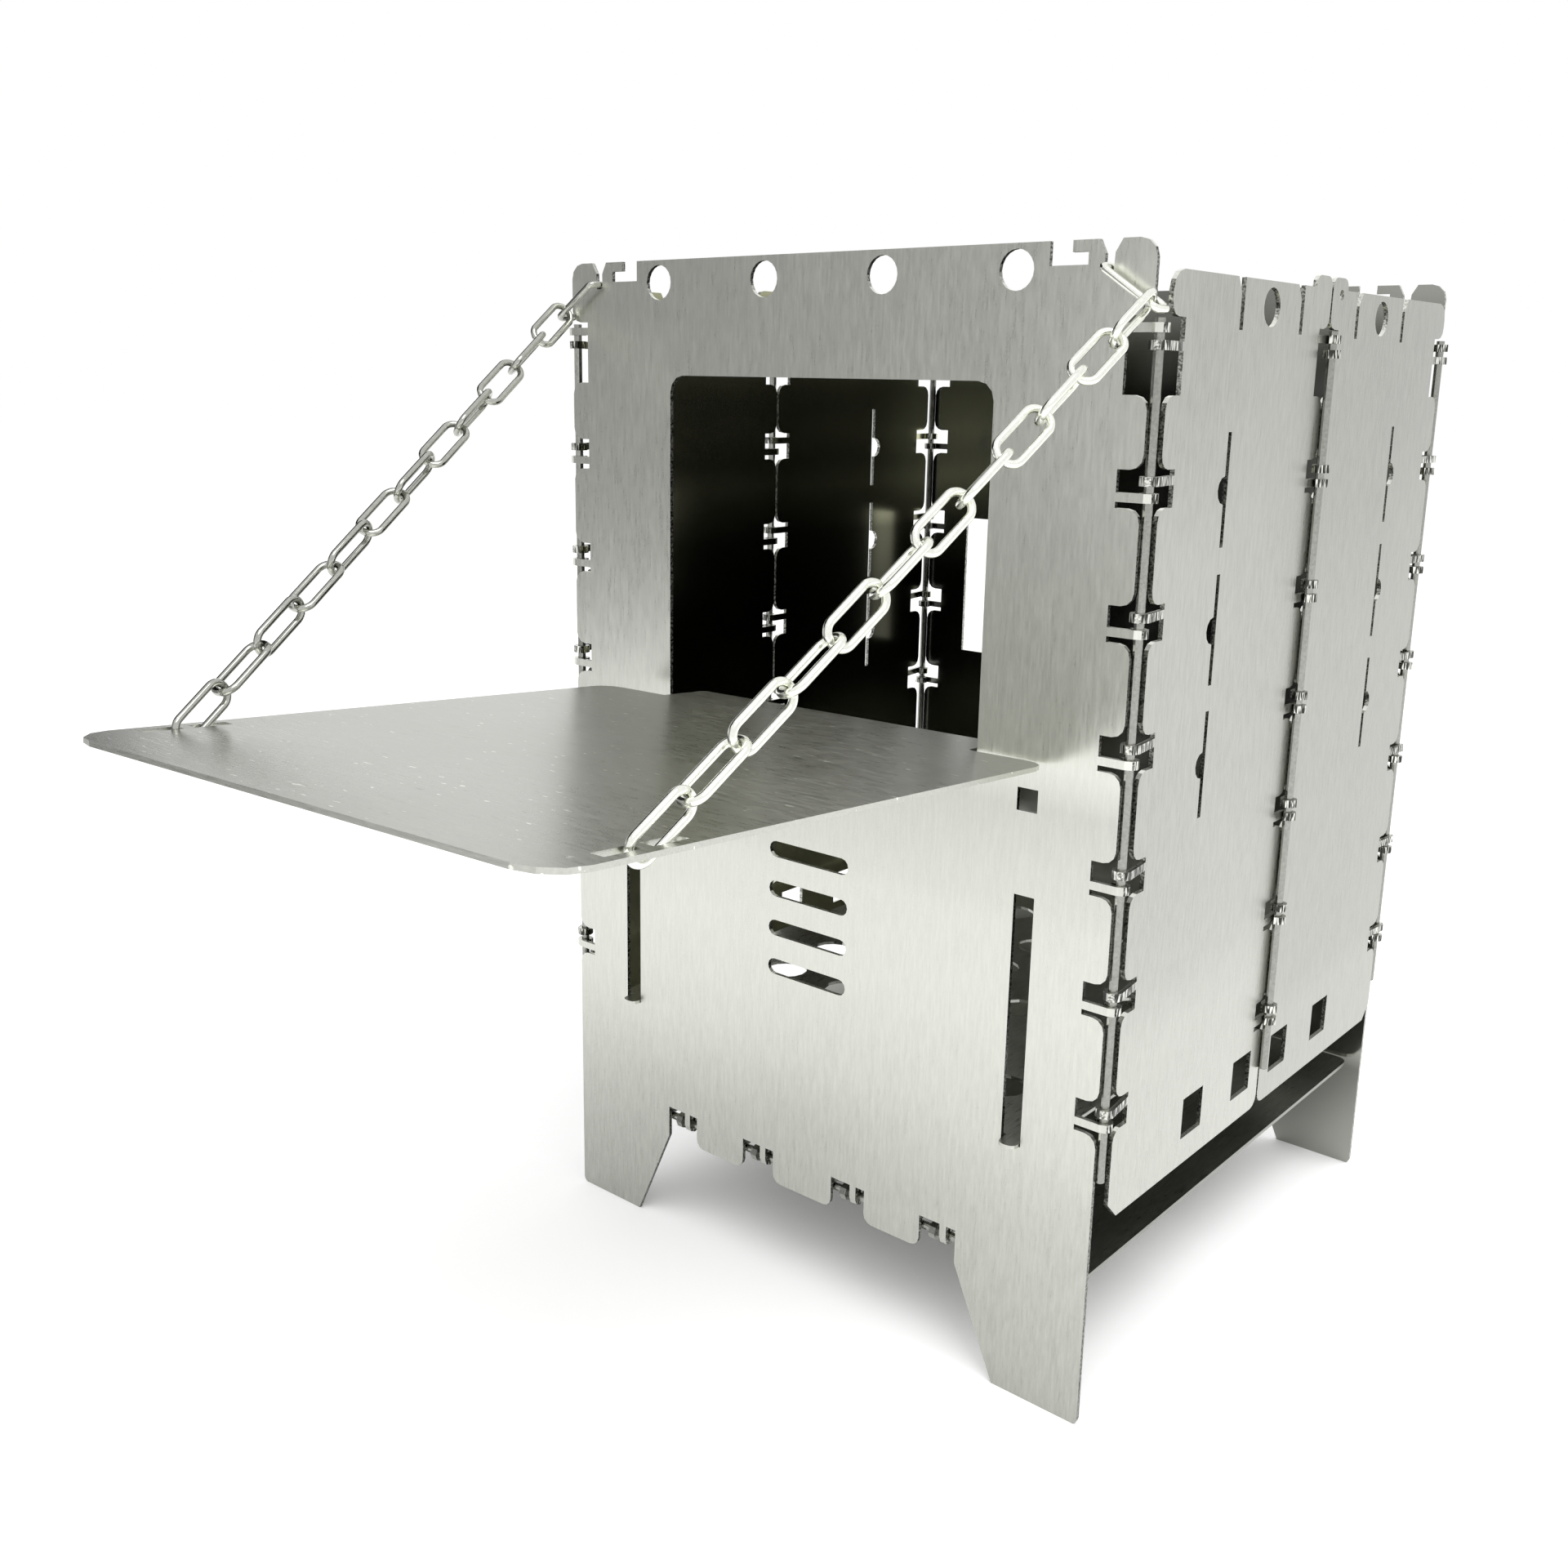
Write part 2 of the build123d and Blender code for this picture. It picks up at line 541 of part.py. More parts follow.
def chain_links(side):
    """Places of a chain's links, from the shelf's bridge to the hook link's front bar."""
    bridge = shelf_plane.from_local_coords(Vector(side * CHAIN_X, -SHELF_LENGTH + BRIDGE_BACK, -SHEET / 2))
    hook = hook_plane(side)
    bar = hook.from_local_coords(Vector((HOOK_HOLD - 0.5) * HOOK_LENGTH, HOOK_WIDTH / 2, 0))
    run = (bar - bridge).normalized()
    first = bridge - run * (BRIDGE_HOLD + LINK_PLAY / 2)
    last = bar + run * (WIRE + LINK_PLAY / 2)
    pitch = (last - first).length / LINK_COUNT
    # roll about the chain, from a link square to the bridge to one square to the hook link's bar
    flat = (shelf_plane.x_dir - run * run.dot(shelf_plane.x_dir)).normalized()
    square = run.cross(flat)
    bar_dir = hook.x_dir * side
    roll_end = degrees(atan2(bar_dir.dot(square), bar_dir.dot(flat)))
    turns = 90 * (LINK_COUNT - 1)
    roll_total = turns + (roll_end - turns + 90) % 180 - 90
    places = []
    for i in range(LINK_COUNT):
        roll = radians(roll_total * i / (LINK_COUNT - 1))
        normal = flat * cos(roll) + square * sin(roll)
        places.append(Plane(origin=first + run * (pitch * (i + 0.5)), x_dir=run, z_dir=normal))
    return places, pitch


for side, side_name in ((-1, "left"), (1, "right")):
    link_places, link_pitch = chain_links(side)
    wire_depth = WIRE / cos(radians(45 / BEND_FACETS))
    chain_link = wire_link(link_pitch + LINK_PLAY + 2 * wire_depth, LINK_WIDTH, LINK_WIDTH / 2)
    with BuildPart() as chain:
        with Locations(*[place.location for place in link_places]):
            add(chain_link)
    chain.part.label = f"{side_name}_chain"
    export_step(chain.part, f"parts/{side_name}_chain.step")

    with BuildPart() as hook_link:
        with Locations(hook_plane(side).location):
            add(wire_link(HOOK_LENGTH, HOOK_WIDTH, HOOK_BEND))
    hook_link.part.label = f"{side_name}_hook_link"
    export_step(hook_link.part, f"parts/{side_name}_hook_link.step")
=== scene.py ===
"""Looks of the folding camping wood stove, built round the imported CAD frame."""

from math import atan2, cos, degrees, pi, radians, sin

import bmesh
import bpy
from mathutils import Matrix, Vector


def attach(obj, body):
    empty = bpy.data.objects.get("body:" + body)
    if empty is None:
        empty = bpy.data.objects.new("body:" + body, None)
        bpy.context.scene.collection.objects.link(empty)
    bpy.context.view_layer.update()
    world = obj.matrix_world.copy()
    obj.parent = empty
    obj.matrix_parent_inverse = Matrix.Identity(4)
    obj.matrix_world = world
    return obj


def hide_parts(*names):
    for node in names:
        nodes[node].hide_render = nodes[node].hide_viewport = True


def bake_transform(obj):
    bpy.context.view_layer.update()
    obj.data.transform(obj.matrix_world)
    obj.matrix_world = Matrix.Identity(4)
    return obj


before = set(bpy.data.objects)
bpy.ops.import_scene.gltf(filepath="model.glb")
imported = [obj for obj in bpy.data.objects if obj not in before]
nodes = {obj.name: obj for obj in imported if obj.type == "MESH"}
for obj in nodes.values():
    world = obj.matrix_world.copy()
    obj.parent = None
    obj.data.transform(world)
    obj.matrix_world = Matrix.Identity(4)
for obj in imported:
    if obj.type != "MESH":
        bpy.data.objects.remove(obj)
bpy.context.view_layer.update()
scene = bpy.context.scene

MM = 0.001
FRONT_Y = -6.1774  # outer face of the front panel, in mm
DEPTH = 160.0  # from there to the outer face of the back panel
SIDE_X = 81.6  # outer face of the side walls
SHEET = 1.0


def at(x, y, z):
    """A point in metres. y is the distance behind the front panel's outer face."""
    return Vector((x * MM, (y + FRONT_Y) * MM, z * MM))


STEEL_TINT = (0.99, 1.0, 0.92)


# ---- node helpers ----

class Nodes:
    """Short ways to add and join the shader nodes of a material or a world."""

    def __init__(self, owner):
        owner.use_nodes = True
        self.tree = owner.node_tree
        self.tree.nodes.clear()

    def add(self, kind, **settings):
        node = self.tree.nodes.new(kind)
        for key, value in settings.items():
            setattr(node, key, value)
        return node

    def join(self, source, target):
        self.tree.links.new(source, target)

    def put(self, socket, value):
        if isinstance(value, bpy.types.NodeSocket):
            self.join(value, socket)
        else:
            socket.default_value = value

    def math(self, operation, a, b=0.0):
        node = self.add("ShaderNodeMath", operation=operation)
        self.put(node.inputs[0], a)
        self.put(node.inputs[1], b)
        return node.outputs[0]

    def mix(self, factor, a, b):
        node = self.add("ShaderNodeMix", data_type="FLOAT")
        self.put(node.inputs["Factor"], factor)
        self.put(node.inputs["A"], a)
        self.put(node.inputs["B"], b)
        return node.outputs["Result"]

    def noise(self, stretch, detail, rough):
        """Noise in object space. stretch is the number of features per metre along X, Y and Z."""
        coords = self.add("ShaderNodeTexCoord")
        mapping = self.add("ShaderNodeMapping")
        mapping.inputs["Scale"].default_value = stretch
        self.join(coords.outputs["Object"], mapping.inputs["Vector"])
        noise = self.add("ShaderNodeTexNoise")
        noise.inputs["Scale"].default_value = 1.0
        noise.inputs["Detail"].default_value = detail
        noise.inputs["Roughness"].default_value = rough
        self.join(mapping.outputs["Vector"], noise.inputs["Vector"])
        return noise.outputs["Fac"]

    def ramp(self, value, low, high, to_low=0.0, to_high=1.0):
        node = self.add("ShaderNodeMapRange", clamp=True)
        self.put(node.inputs["Value"], value)
        node.inputs["From Min"].default_value = low
        node.inputs["From Max"].default_value = high
        node.inputs["To Min"].default_value = to_low
        node.inputs["To Max"].default_value = to_high
        return node.outputs["Result"]

    def curve(self, value, stops):
        """Values joined by straight lines. stops are pairs of input and output, lowest input first."""
        low, high = stops[0][0], stops[-1][0]
        node = self.add("ShaderNodeValToRGB")
        self.join(self.ramp(value, low, high), node.inputs["Fac"])
        points = node.color_ramp.elements
        while len(points) < len(stops):
            points.new(0.5)
        for i, stop in enumerate(stops):
            points[i].position = (stop[0] - low) / (high - low)
        for i, (_, level) in enumerate(stops):
            points[i].color = (level, level, level, 1)
        return node.outputs["Color"]

    def tinted(self, value, tint):
        node = self.add("ShaderNodeCombineColor")
        for socket, part in zip(node.inputs, tint):
            self.put(socket, self.math("MULTIPLY", value, part))
        return node.outputs["Color"]

    def background_seen(self):
        """1 for the rays that show the background: the camera's, and those by gloss or through glass."""
        rays = self.add("ShaderNodeLightPath")
        seen = self.math("MAXIMUM", rays.outputs["Is Camera Ray"], rays.outputs["Is Glossy Ray"])
        return self.math("MAXIMUM", seen, rays.outputs["Is Transmission Ray"])


# ---- metals ----

FINE_GRAIN = (1700.0, 200.0)  # streaks per metre, across and along the brushing
BROAD_GRAIN = (500.0, 110.0)
CLOUDS_PER_METRE = 14.0
SHEET_GLOSS = 0.3
INNER_GLOSS = 0.16
# Painted shade: how much darker the inner faces are made
INNER_SHADE = 0.66


def grain_noise(n, grain, scale, detail, rough):
    """Noise drawn out along the grain's axis. scale is its number of features per metre, across and along."""
    stretch = [scale[0]] * 3
    stretch["XYZ".index(grain)] = scale[1]
    return n.noise(stretch, detail, rough)


def surface_parts(n, output):
    """X, Y and Z of the place or of the normal, in object space."""
    coords = n.add("ShaderNodeTexCoord")
    parts = n.add("ShaderNodeSeparateXYZ")
    n.join(coords.outputs[output], parts.inputs[0])
    return parts.outputs


def metal(n, material, base, rough, relief, strength, depth):
    """Ends a material as bare metal. base is a colour, and relief a height of at most depth in metres."""
    bump = n.add("ShaderNodeBump")
    bump.inputs["Strength"].default_value = strength
    bump.inputs["Distance"].default_value = depth
    n.join(relief, bump.inputs["Height"])
    shader = n.add("ShaderNodeBsdfPrincipled")
    shader.inputs["Metallic"].default_value = 1.0
    n.join(base, shader.inputs["Base Color"])
    n.join(rough, shader.inputs["Roughness"])
    n.join(bump.outputs["Normal"], shader.inputs["Normal"])
    output = n.add("ShaderNodeOutputMaterial")
    n.join(shader.outputs["BSDF"], output.inputs["Surface"])
    return material


def scratched(n, base, rough, relief, depth):
    """A sheet's lightness, roughness and relief, with long scratches and small bright specks."""
    lines = n.noise((90.0, 1400.0, 90.0), 2.0, 0.9)
    marks = n.ramp(lines, 0.68, 0.72)
    specks = n.ramp(n.noise((330.0, 900.0, 500.0), 1.0, 0.5), 0.735, 0.75)
    rough = n.math("ADD", rough, n.math("MULTIPLY", marks, depth))
    base = n.math("ADD", base, n.math("MULTIPLY", specks, 0.35))
    base = n.math("SUBTRACT", base, n.math("MULTIPLY", marks, 0.1))
    return base, rough, n.math("ADD", relief, n.math("MULTIPLY", marks, depth * 3))


def cut_edges(n, base, face, place, normal, inwards, cut):
    """Base with the sheet's cut edges, lighter where they face up as a painted highlight, and with the ribbed
    rims of the hinge loops bent inward from it.
    """
    axis, inward, outer = face
    depth = n.math("MULTIPLY", n.math("SUBTRACT", place[axis], outer), inward)
    from_middle = n.math("ABSOLUTE", n.math("SUBTRACT", depth, SHEET / 2 * MM))
    loop = n.ramp(from_middle, 0.00058, 0.00062)
    level = n.math("ABSOLUTE", normal["Z"])
    rim = n.math("MULTIPLY", loop, n.ramp(level, 0.6, 0.7, 1.0, 0.0))
    sideways = n.ramp(n.math("ABSOLUTE", inwards), 0.5, 0.6, 1.0, 0.0)
    edge = n.math("MULTIPLY", sideways, n.ramp(loop, 0, 1, 1.0, 0.0))
    burr = n.noise((1800.0, 1800.0, 2400.0), 1.0, 0.5)
    ribs = n.noise((2600.0, 2600.0, 300.0), 1.0, 0.5)
    edge_tone = n.ramp(burr, 0.38, 0.62, *cut)
    # Cut edges that face up are made lighter: a painted highlight
    edge_tone = n.mix(n.ramp(normal["Z"], 0.3, 0.8), edge_tone, 0.85)
    base = n.mix(edge, base, edge_tone)
    return n.mix(rim, base, n.ramp(ribs, 0.48, 0.62, 0.05, 0.85))


def brushed(name, grain, shade, face=None, dark=None, cut=(0.1, 0.6), scratch=0.0,
            inner_blue=STEEL_TINT[2]):
    """Brushed stainless sheet.

    grain is the brushing's axis. shade is the steel's lightness by height in metres: painted shade and
    painted reflections where it changes with height.
    face is the axis that the sheet lies across, its inward direction, and the place of its outer
    face on that axis.
    dark is the painted shade of its inner face by height, and inner_blue the blue part of that face's tint, a
    painted reflection colour.
    cut is the range of lightness of its cut edges, lower on the front panel and higher on the right walls as
    painted shade and painted light, and scratch the depth of its scratches.
    """
    material = bpy.data.materials.new(name)
    n = Nodes(material)
    fine = grain_noise(n, grain, FINE_GRAIN, 3.0, 0.7)
    broad = grain_noise(n, grain, BROAD_GRAIN, 3.0, 0.6)
    clouds = n.noise((CLOUDS_PER_METRE,) * 3, 3.0, 0.5)
    place = surface_parts(n, "Object")
    normal = surface_parts(n, "Normal")
    tone = n.math("ADD", n.ramp(fine, 0.3, 0.7, -0.05, 0.05), n.ramp(broad, 0.3, 0.7, -0.01, 0.01))
    tone = n.math("ADD", tone, n.ramp(clouds, 0.3, 0.7, -0.02, 0.02))
    base = n.math("ADD", tone, n.curve(place["Z"], shade))
    rough = n.ramp(fine, 0.25, 0.75, SHEET_GLOSS - 0.05, SHEET_GLOSS + 0.07)
    rough = n.math("ADD", rough, n.ramp(clouds, 0.3, 0.7, -0.03, 0.03))
    relief = fine
    tint = STEEL_TINT
    if scratch:
        base, rough, relief = scratched(n, base, rough, relief, scratch)
    if face:
        inwards = n.math("MULTIPLY", normal[face[0]], face[1])
        inner = n.ramp(inwards, 0.6, 0.9)
        # Inner faces: painted shade by height, times INNER_SHADE, and a painted reflection tint
        base = n.mix(inner, base, n.math("MULTIPLY", n.curve(place["Z"], dark), INNER_SHADE))
        rough = n.mix(inner, rough, INNER_GLOSS)
        tint = STEEL_TINT[:2] + (n.mix(inner, STEEL_TINT[2], inner_blue),)
        relief = n.mix(inner, relief, 0.5)
        base = cut_edges(n, base, face, place, normal, inwards, cut)
    return metal(n, material, n.tinted(base, tint), rough, relief, 0.12, 0.00012)


def polished(name, shade, gloss):
    """Drawn or polished steel wire with faint die lines and small dents."""
    material = bpy.data.materials.new(name)
    n = Nodes(material)
    lines = n.noise((1500.0, 1500.0, 1500.0), 3.0, 0.6)
    dents = n.noise((260.0, 260.0, 260.0), 2.0, 0.5)
    base = n.math("ADD", n.ramp(lines, 0.3, 0.7, -0.05, 0.05), shade)
    rough = n.ramp(dents, 0.3, 0.7, gloss - 0.05, gloss + 0.08)
    return metal(n, material, n.tinted(base, STEEL_TINT), rough, dents, 0.25, 0.0001)


def dress(names, material):
    for name in names:
        for slot in nodes[name].material_slots:
            slot.material = material


# Lightness by height in metres: painted shade and painted reflections of the room, with steps where a
# reflected edge falls
FRONT_SHADE = ((0.0, 0.41), (0.04, 0.52), (0.062, 0.62), (0.09, 0.67), (0.111, 0.67), (0.116, 0.64),
               (0.138, 0.6), (0.147, 0.79), (0.2, 0.73), (0.251, 0.71))
SIDE_SHADE = ((0.02, 0.56), (0.06, 0.56), (0.086, 0.54), (0.1, 0.48), (0.108, 0.465), (0.14, 0.445),
              (0.17, 0.455), (0.2, 0.46), (0.24, 0.45))
REAR_SHADE = ((0.02, 0.46), (0.068, 0.45), (0.078, 0.42), (0.1, 0.41), (0.13, 0.405), (0.17, 0.42),
              (0.24, 0.43))
# Painted shade of the inner faces by height: near black behind the window, lighter at the top rim
LOW_INSIDE = ((0.0, 0.5), (0.03, 0.5), (0.035, 1.1), (0.06, 0.9), (0.085, 0.5))  # painted light: lighter near the grate
INSIDE = LOW_INSIDE + ((0.13, 0.13), (0.222, 0.11), (0.243, 0.55))
# Painted reflection bands on the inner faces of the left walls
PAINTED_REFLECTION_BANDS = LOW_INSIDE + ((0.13, 0.06), (0.16, 0.06), (0.178, 0.15), (0.186, 0.5), (0.193, 1.0), (0.2, 0.75),
                      (0.208, 1.0), (0.215, 0.8), (0.243, 0.6))


def even(level):
    return ((0, level), (1, level))


front_face = ("Y", 1, FRONT_Y * MM)
back_face = ("Y", -1, (FRONT_Y + DEPTH) * MM)
right_face = ("X", -1, SIDE_X * MM)
left_face = ("X", 1, -SIDE_X * MM)
# Cut edges are set darker on the front panel and lighter on the right walls: painted shade and painted light
# on the same steel
dress(["front_panel"], brushed("front sheet", "Z", FRONT_SHADE, front_face, INSIDE, (0.03, 0.35)))
dress(["back_panel"], brushed("back sheet", "Z", SIDE_SHADE, back_face, INSIDE))
# The rear right wall has its own darker curve: painted shade on the same steel as the front right wall
for name, shade in (("right_front_wall", SIDE_SHADE), ("right_rear_wall", REAR_SHADE)):
    dress([name], brushed(name + " sheet", "Z", shade, right_face, INSIDE, (0.15, 0.75)))
# The left walls' inner faces get painted reflection bands and a painted olive reflection tint
dress(["left_front_wall", "left_rear_wall"],
      brushed("left sheet", "Z", SIDE_SHADE, left_face, PAINTED_REFLECTION_BANDS, inner_blue=0.66))
# The floor plate's low even lightness is painted shade for its place inside the box
dress(["floor_plate"], brushed("floor sheet painted shade", "Y", even(0.3)))
dress(["fire_grate"], brushed("grate sheet", "Y", even(0.6)))
dress(["shelf_plate"], brushed("shelf sheet", "X", even(0.54), scratch=0.1))
rods = [name for name in nodes if name.endswith("_rod")]
dress(rods, polished("drawn rod", 0.32, 0.18))
# The left wire is darker and the right wire lighter: painted shade and a painted highlight on the same steel
painted_light_wires = {-1: polished("left wire painted shade", 0.45, 0.1), 1: polished("right wire painted highlight", 0.9, 0.14)}


# ---- chains and hook links: round wire in place of the faceted CAD links ----

# Sizes in mm, as the solids have them where no other reason is given
WIRE = 0.78  # radius, a little less than the solids' faceted wire
LINK_WIDTH = 5.2
LINK_COUNT = 12
LINK_PLAY = 0.1
SHELF_TILT = radians(4.6)
SHELF_TURN = radians(3.0)
SHELF_SIDE = 1.7
SHELF_HALF = 62.2
SHELF_LENGTH = 146.4
TONGUE_HALF = 43.0
CHAIN_IN = 3.6
BRIDGE_BACK = 21.6
BRIDGE_DOWN = 0.5  # its middle, below the shelf's top face
BRIDGE_HOLD = 1.4
WINDOW_LOW = 146.7
SILL_GAP = 0.02
HOOK_SLIT = (70.1, 245.9)
HOOK_EDGE = (81.9, 238.0)  # 0.9 mm from the solids' place, as the photograph shows it
HOOK_LENGTH = (Vector(HOOK_EDGE) - Vector(HOOK_SLIT)).length
HOOK_WIDTH = 4.9
HOOK_HOLD = 0.86  # where the chain hangs, along the hook link
HOOK_BACK = 0.05
HOOK_BEND = 1.3
LINK_STEPS = 9  # parts of a quarter bend
WIRE_SIDES = 12
SAME_POINT = 0.02


def link_line(length, width, bend):
    """Middle line of a link: long along X, flat in XY."""
    line = []
    for quarter, (sx, sy) in enumerate(((1, -1), (1, 1), (-1, 1), (-1, -1))):
        mx, my = sx * (length / 2 - bend), sy * (width / 2 - bend)
        for i in range(LINK_STEPS + 1):
            a = radians(90 * (quarter - 1 + i / LINK_STEPS))
            p = Vector((mx + bend * cos(a), my + bend * sin(a), 0))
            if not line or (p - line[-1]).length > SAME_POINT:
                line.append(p)
    if (line[0] - line[-1]).length < SAME_POINT:
        line.pop()
    return line


def add_link(mesh, matrix, length, width, bend):
    """Adds one closed wire link to a bmesh."""
    line = link_line(length, width, bend)
    count = len(line)
    rings = []
    for i, p in enumerate(line):
        before, after = (p - line[i - 1]).normalized(), (line[(i + 1) % count] - p).normalized()
        along = (before + after).normalized()
        out = Vector((along.y, -along.x, 0))
        ring = []
        for j in range(WIRE_SIDES):
            a = 2 * pi * j / WIRE_SIDES
            point = p + out * (WIRE * cos(a)) + Vector((0, 0, WIRE * sin(a)))
            ring.append(mesh.verts.new(matrix @ (point * MM)))
        rings.append(ring)
    for i in range(count):
        here, there = rings[i], rings[(i + 1) % count]
        for j in range(WIRE_SIDES):
            k = (j + 1) % WIRE_SIDES
            face = mesh.faces.new((here[j], there[j], there[k], here[k]))
            face.smooth = True


def finish_mesh(name, mesh, material):
    bmesh.ops.recalc_face_normals(mesh, faces=mesh.faces[:])
    data = bpy.data.meshes.new(name)
    mesh.to_mesh(data)
    mesh.free()
    data.materials.append(material)
    piece = bpy.data.objects.new(name, data)
    scene.collection.objects.link(piece)
    return piece


def frame_matrix(origin, x_dir, z_dir):
    x, z = x_dir.normalized(), z_dir.normalized()
    y = z.cross(x)
    return Matrix.Translation(origin) @ Matrix((x, y, z)).transposed().to_4x4()


def hook_frame(side):
    """Place of a hook link, and the direction from the slit to the panel's edge."""
    (slit_x, slit_z), (edge_x, edge_z) = HOOK_SLIT, HOOK_EDGE
    run = Vector((side * (edge_x - slit_x), 0, edge_z - slit_z)).normalized()
    middle_y = SHEET + HOOK_BACK + WIRE - HOOK_WIDTH / 2
    middle = at(side * (slit_x + edge_x) / 2, middle_y, (slit_z + edge_z) / 2)
    return frame_matrix(middle, run, run.cross(Vector((0, -1, 0)))), run


drop = TONGUE_HALF * sin(SHELF_TURN) * sin(SHELF_TILT)
sill = at(SHELF_SIDE, SHEET, WINDOW_LOW + SILL_GAP + (SHEET + drop) / cos(SHELF_TILT))
shelf_x = Vector((cos(SHELF_TURN), sin(SHELF_TURN), 0))
tilt_in = sin(SHELF_TILT)
up = Vector((-sin(SHELF_TURN) * tilt_in, cos(SHELF_TURN) * tilt_in, cos(SHELF_TILT)))
inward = up.cross(shelf_x)

for side, word in ((-1, "left"), (1, "right")):
    hook, bar_run = hook_frame(side)
    mesh = bmesh.new()
    add_link(mesh, hook, HOOK_LENGTH, HOOK_WIDTH, HOOK_BEND)
    piece = finish_mesh(f"hook_link_{word}", mesh, painted_light_wires[side])
    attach(piece, "front")
    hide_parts(f"{word}_hook_link")

    bridge = sill + shelf_x * (side * (SHELF_HALF - CHAIN_IN) * MM)
    bridge += inward * ((BRIDGE_BACK - SHELF_LENGTH) * MM) - up * (BRIDGE_DOWN * MM)
    bar = hook @ Vector(((HOOK_HOLD - 0.5) * HOOK_LENGTH * MM, HOOK_WIDTH / 2 * MM, 0))
    run = (bar - bridge).normalized()
    first = bridge - run * ((BRIDGE_HOLD + LINK_PLAY / 2) * MM)
    last = bar + run * ((WIRE + LINK_PLAY / 2) * MM)
    pitch = (last - first).length / LINK_COUNT
    flat = (shelf_x - run * run.dot(shelf_x)).normalized()
    square = run.cross(flat)
    bar_dir = bar_run * side
    roll_end = degrees(atan2(bar_dir.dot(square), bar_dir.dot(flat)))
    turns = 90 * (LINK_COUNT - 1)
    roll_total = turns + (roll_end - turns + 90) % 180 - 90
    mesh = bmesh.new()
    for i in range(LINK_COUNT):
        roll = radians(roll_total * i / (LINK_COUNT - 1))
        normal = flat * cos(roll) + square * sin(roll)
        place = frame_matrix(first + run * (pitch * (i + 0.5)), run, normal)
        add_link(mesh, place, pitch / MM + LINK_PLAY + 2 * WIRE, LINK_WIDTH, LINK_WIDTH / 2)
    piece = finish_mesh(f"chain_{word}", mesh, painted_light_wires[side])
    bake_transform(piece)
    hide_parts(f"{word}_chain")


# ---- camera, fitted to the photograph ----

IMAGE_WIDTH = 1920  # pixels
FOCAL_LENGTH = 1896.898  # pixels
SENSOR_WIDTH = 36.0

data = bpy.data.cameras.new("camera")
data.sensor_width = SENSOR_WIDTH
data.lens = FOCAL_LENGTH / IMAGE_WIDTH * SENSOR_WIDTH
data.shift_x = 0.00117
data.shift_y = -0.02423
data.clip_end = 50
camera = bpy.data.objects.new("camera", data)
turn = Matrix(((0.75936659, -0.16331662, 0.62983336),
               (0.65044148, 0.16527811, -0.74135621),
               (0.01697813, 0.97263088, 0.23173458)))
camera.matrix_world = Matrix.Translation(at(222.02, -271.59, 224.61)) @ turn.to_4x4()
scene.collection.objects.link(camera)
scene.camera = camera


# ---- studio ----

FLOOR_WIDTH = 12.0
FLOOR_WHITE = 0.86
FLOOR_GLOW = (0.02, 0.44)  # glow where something covers it, a painted shadow, and where it lies open
COVER_REACH = 0.07
WORLD_LIGHT = 0.75  # what falls on the object, against 1 for the white that is seen
KEY_PLACE = (0.9, -0.5, 1.9)
KEY_SIZE = 1.2
KEY_WATTS = 18


def white_floor():
    """White floor that keeps the object's lit shadow, deepened by a painted shadow where its glow fades under
    the object.
    """
    material = bpy.data.materials.new("floor white")
    n = Nodes(material)
    diffuse = n.add("ShaderNodeBsdfDiffuse")
    diffuse.inputs["Color"].default_value = (FLOOR_WHITE, FLOOR_WHITE, FLOOR_WHITE, 1)
    glow = n.add("ShaderNodeEmission")
    covered = n.add("ShaderNodeAmbientOcclusion", samples=24)
    covered.inputs["Distance"].default_value = COVER_REACH
    # The glow fades where the object covers the floor: a painted shadow
    open_sky = n.ramp(covered.outputs["AO"], 0.2, 0.5, *FLOOR_GLOW)
    n.join(n.math("MULTIPLY", n.background_seen(), open_sky), glow.inputs["Strength"])
    both = n.add("ShaderNodeAddShader")
    n.join(diffuse.outputs[0], both.inputs[0])
    n.join(glow.outputs[0], both.inputs[1])
    output = n.add("ShaderNodeOutputMaterial")
    n.join(both.outputs[0], output.inputs["Surface"])
    return material


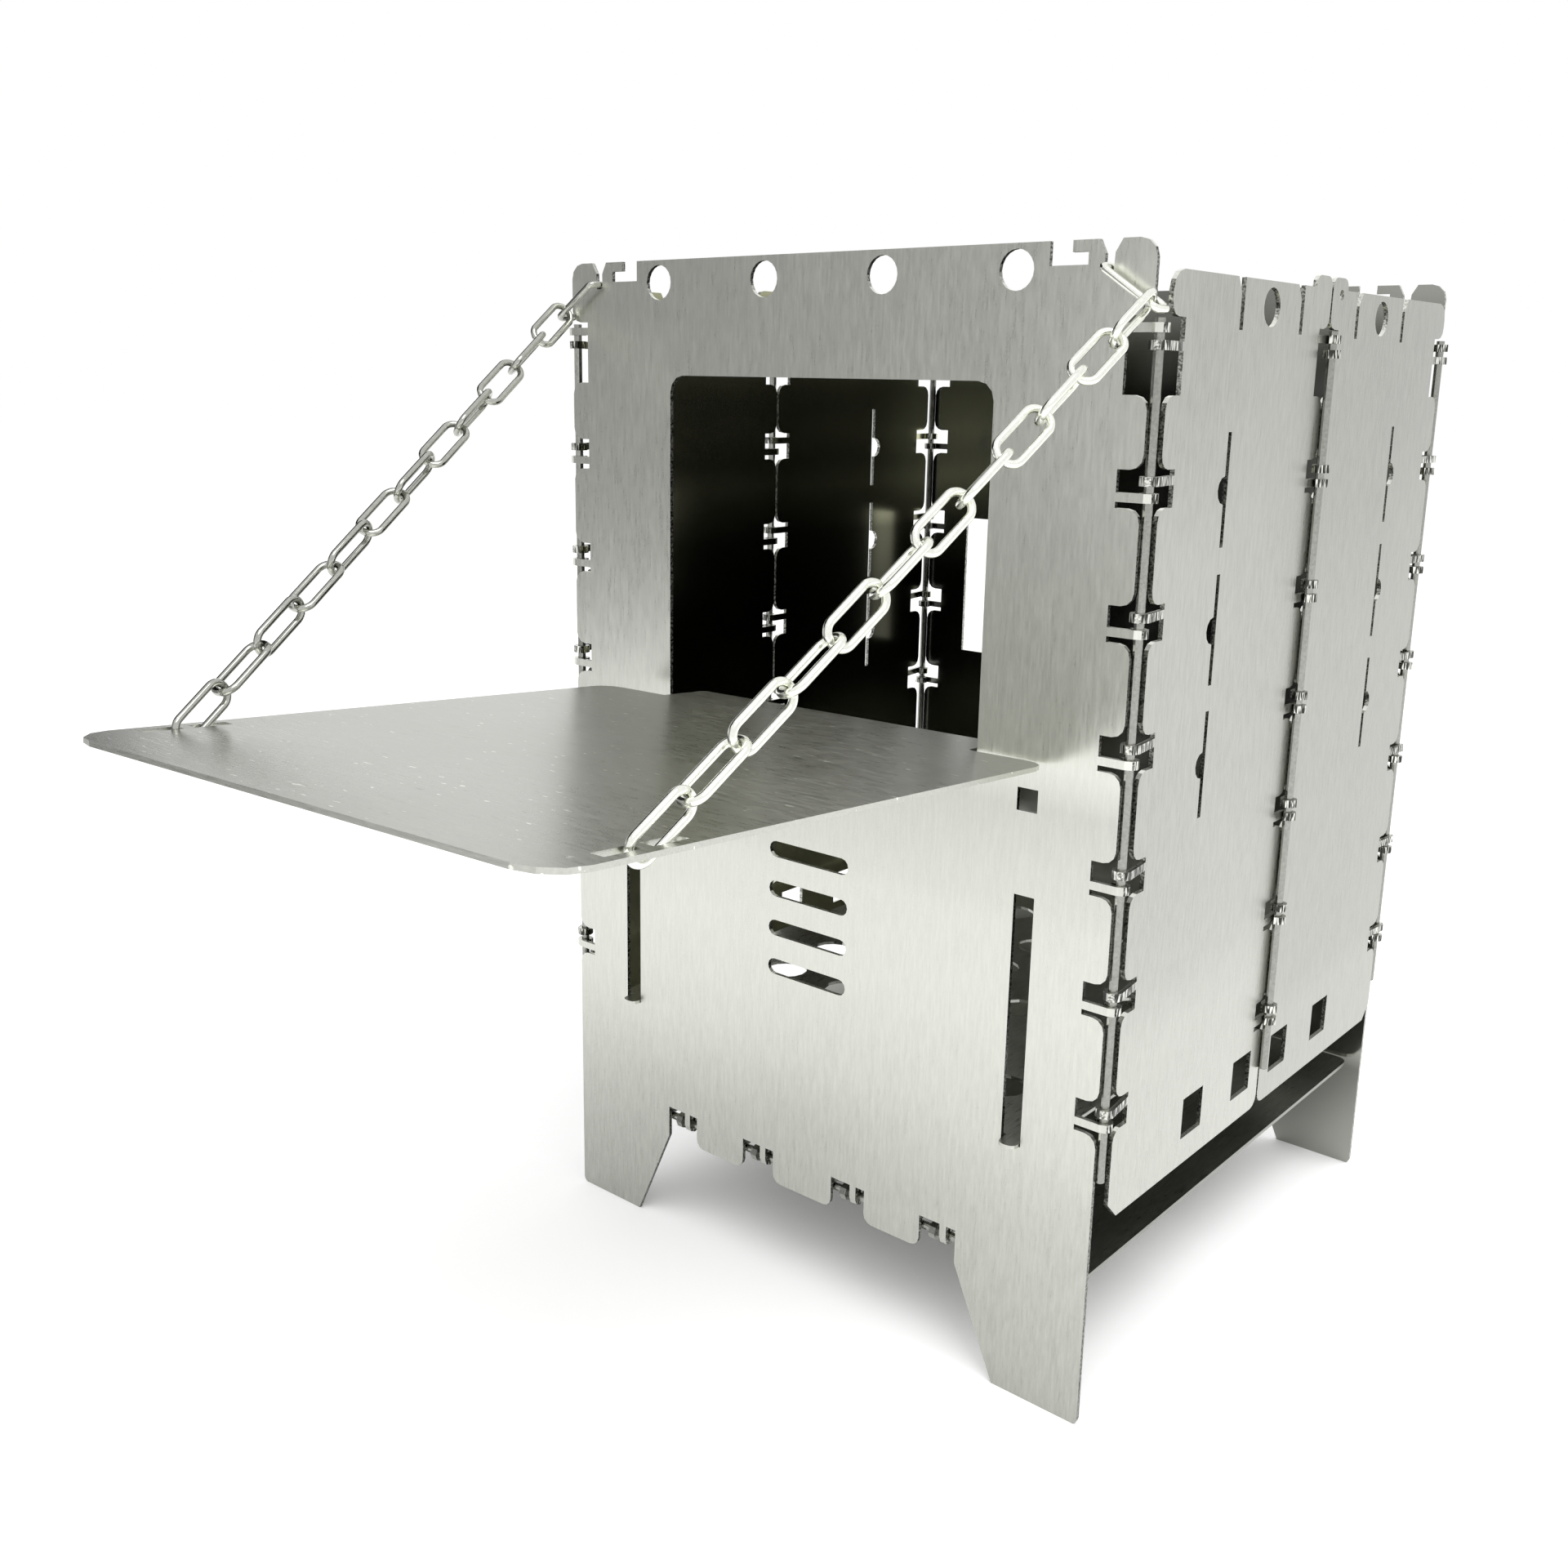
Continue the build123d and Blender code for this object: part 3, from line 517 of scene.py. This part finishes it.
def plain_grey(name, level):
    material = bpy.data.materials.new(name)
    n = Nodes(material)
    diffuse = n.add("ShaderNodeBsdfDiffuse")
    diffuse.inputs["Color"].default_value = (level, level, level, 1)
    output = n.add("ShaderNodeOutputMaterial")
    n.join(diffuse.outputs[0], output.inputs["Surface"])
    return material


def rectangle(name, width, height, material):
    mesh = bmesh.new()
    corners = ((-1, -1), (1, -1), (1, 1), (-1, 1))
    mesh.faces.new([mesh.verts.new((x * width / 2, y * height / 2, 0)) for x, y in corners])
    return finish_mesh(name, mesh, material)


def facing(centre, target, axis="Z"):
    """Rotation that turns an object's axis at centre towards target."""
    return (Vector(target) - Vector(centre)).to_track_quat(axis, "Y").to_euler()


def card(name, centre, rotation, width, height, material):
    """A card that only reflections see."""
    piece = rectangle(name, width, height, material)
    piece.location = centre
    piece.rotation_euler = rotation
    piece.visible_camera = False
    piece.visible_shadow = False
    piece.visible_diffuse = False


floor = rectangle("studio_floor", FLOOR_WIDTH, FLOOR_WIDTH, white_floor())

flag_grey = plain_grey("flag grey", 0.4)
flag_dark = plain_grey("flag dark", 0.02)
flag_place = Vector((-1.38, -1.24, 0.7))
side_place = (-1.6, -0.1, 1.1)
card("flag_front", flag_place, facing(flag_place, (0, 0, 0.7)), 1.7, 1.4, flag_grey)
flag_angle = atan2(flag_place.y, flag_place.x) + pi / 2
card("flag_floor", (-0.97, -0.87, 0.004), (0, 0, flag_angle), 1.6, 1.1, flag_grey)
card("flag_left", side_place, facing(side_place, (0, 0, 0.2)), 2.0, 1.6, flag_dark)

world = bpy.data.worlds.new("world")
scene.world = world
n = Nodes(world)
background = n.add("ShaderNodeBackground")
n.join(n.mix(n.background_seen(), WORLD_LIGHT, 1.0), background.inputs["Strength"])
background.inputs["Color"].default_value = (1, 1, 1, 1)
output = n.add("ShaderNodeOutputWorld")
n.join(background.outputs[0], output.inputs["Surface"])

lamp = bpy.data.lights.new("key", "AREA")
lamp.size = KEY_SIZE
lamp.energy = KEY_WATTS
key = bpy.data.objects.new("key", lamp)
key.location = KEY_PLACE
key.rotation_euler = facing(KEY_PLACE, (0, 0, 0.1), "-Z")
scene.collection.objects.link(key)

scene.view_settings.view_transform = "Standard"
